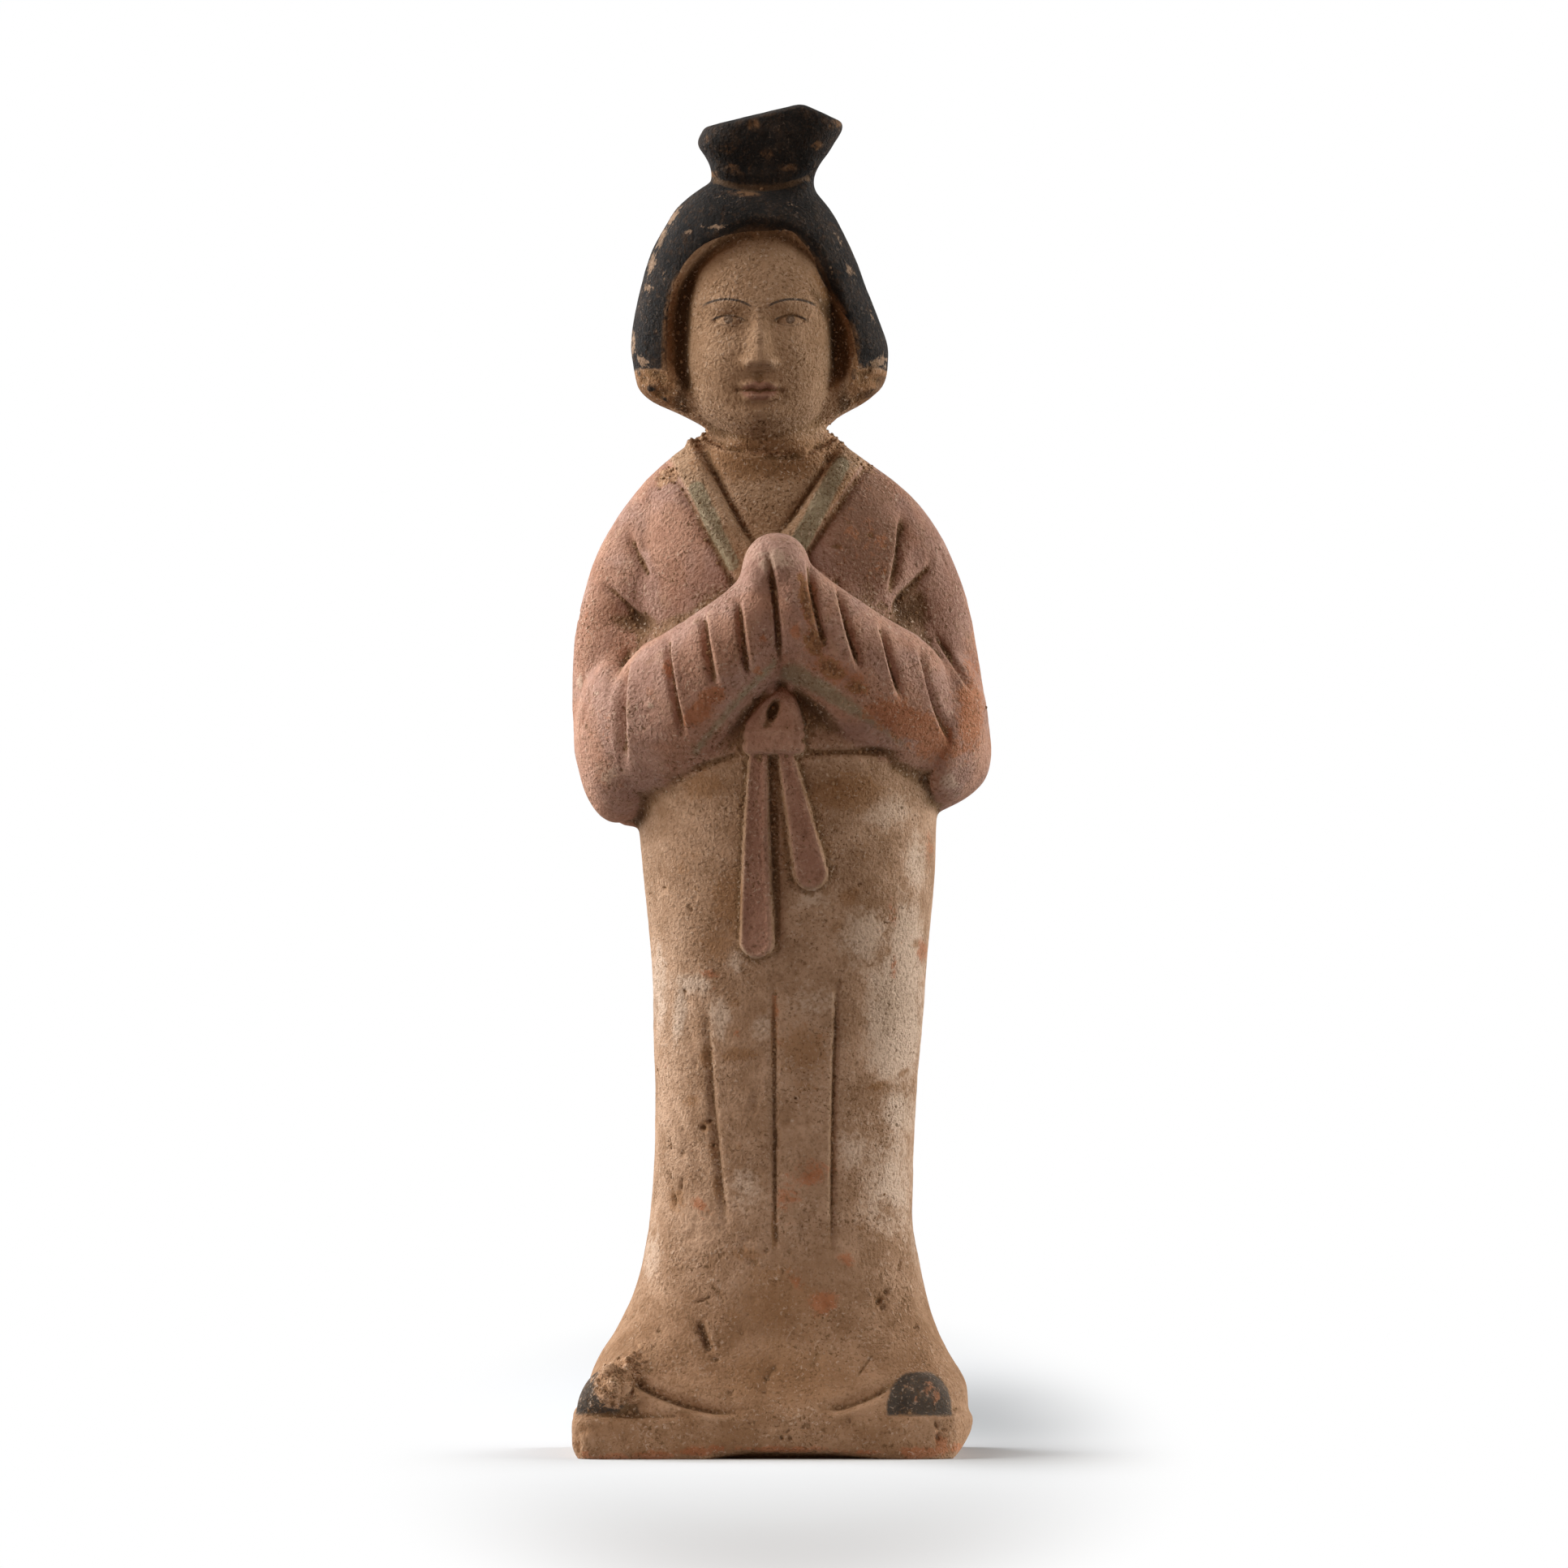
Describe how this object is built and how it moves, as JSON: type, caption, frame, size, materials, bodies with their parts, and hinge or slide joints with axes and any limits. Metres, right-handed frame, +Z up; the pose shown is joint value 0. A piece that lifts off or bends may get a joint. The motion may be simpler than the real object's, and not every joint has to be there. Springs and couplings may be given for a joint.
{
  "type": "court lady figure",
  "caption": "Standing robed lady in painted, moulded earthenware, hands joined inside her sleeves, on a thin slab base.",
  "frame": {"origin": "on the ground, under the middle of the figure's bounding box", "axes": "+Z up, the figure faces -Y, her left hand is at +X"},
  "size_m": [0.093, 0.0668, 0.2998],
  "materials": {
    "painted_earthenware": "matt buff clay with worn rose, green and black pigment and burial soil"
  },
  "bodies": {
    "root": {"court_lady_figure": "painted_earthenware"}
  },
  "joints": []
}
